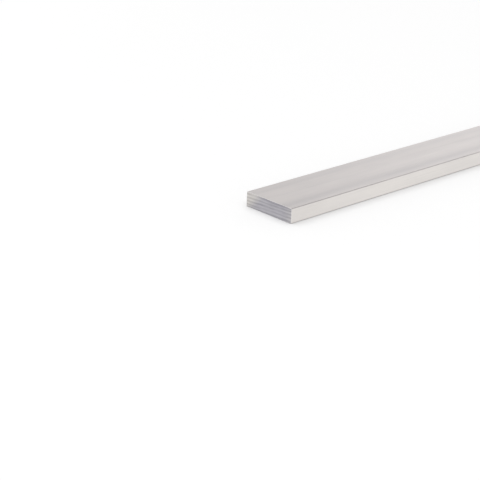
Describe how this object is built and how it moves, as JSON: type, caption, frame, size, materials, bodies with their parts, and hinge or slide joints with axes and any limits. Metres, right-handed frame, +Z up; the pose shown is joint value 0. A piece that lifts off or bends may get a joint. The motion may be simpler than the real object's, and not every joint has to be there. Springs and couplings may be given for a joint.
{
  "type": "flat bar",
  "caption": "Solid extruded aluminium flat bar of plain rectangular section with sawn, deburred ends: raw stock for frames, brackets, strips and machined parts.",
  "frame": {"origin": "centre of the broad face that the bar rests on", "axes": "+X along the bar, from the sawn end that the picture shows towards the far one; +Y across its width, away from the long edge that the picture shows; +Z up through its thickness"},
  "size_m": [1, 0.04, 0.01],
  "materials": {
    "mill_aluminium": "mill finish as extruded: satin, with fine die lines along the bar, and saw marks across the two cut ends"
  },
  "bodies": {
    "root": {"flat_bar": "mill_aluminium"}
  },
  "joints": []
}
